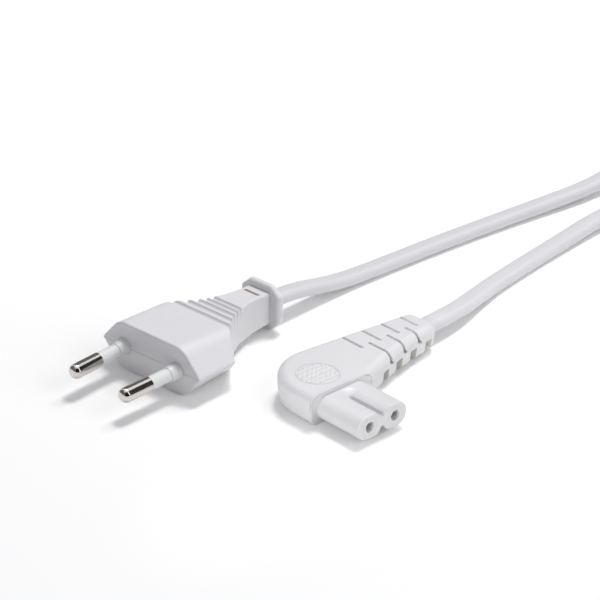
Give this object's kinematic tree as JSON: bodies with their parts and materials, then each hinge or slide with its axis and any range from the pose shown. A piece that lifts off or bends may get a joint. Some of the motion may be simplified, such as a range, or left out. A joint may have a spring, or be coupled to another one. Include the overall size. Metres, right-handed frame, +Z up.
{
  "type": "power cord",
  "caption": "White mains lead: flat two-pin plug with ribbed neck, flat cord, and a right-angled figure-eight connector with slit strain relief",
  "frame": {"origin": "On the floor under the middle of the box round the plug and the connector, the cord left out.", "axes": "+X runs along the plug from its pins to its cord, +Y to the plug's left, +Z up. The lead lies flat on the floor at z 0."},
  "size_m": [0.2752, 0.095, 0.0137],
  "materials": {
    "plug_pvc": "satin",
    "connector_pvc": "satin",
    "insert_plastic": "satin",
    "sleeve_plastic": "satin",
    "pin_nickel": "polished",
    "contact_metal": "drawn",
    "copper": "drawn",
    "core_brown": "satin",
    "core_blue": "satin",
    "cord_pvc": "satin",
    "tie_plastic": "satin"
  },
  "bodies": {
    "root": {"plug_body": "plug_pvc", "pin_carrier": "sleeve_plastic", "pin_left": "pin_nickel", "pin_right": "pin_nickel", "pin_sleeve_left": "sleeve_plastic", "pin_sleeve_right": "sleeve_plastic", "plug_core_left": "core_brown", "plug_core_right": "core_blue", "plug_strands_left": "copper", "plug_strands_right": "copper", "connector_body": "connector_pvc", "connector_insert": "insert_plastic", "contact_left": "contact_metal", "contact_right": "contact_metal", "connector_core_left": "core_brown", "connector_core_right": "core_blue", "connector_strands_left": "copper", "connector_strands_right": "copper", "cord_plug_lead": "cord_pvc", "cord_coil": "cord_pvc", "cord_connector_lead": "cord_pvc", "coil_tie": "tie_plastic"}
  },
  "joints": []
}
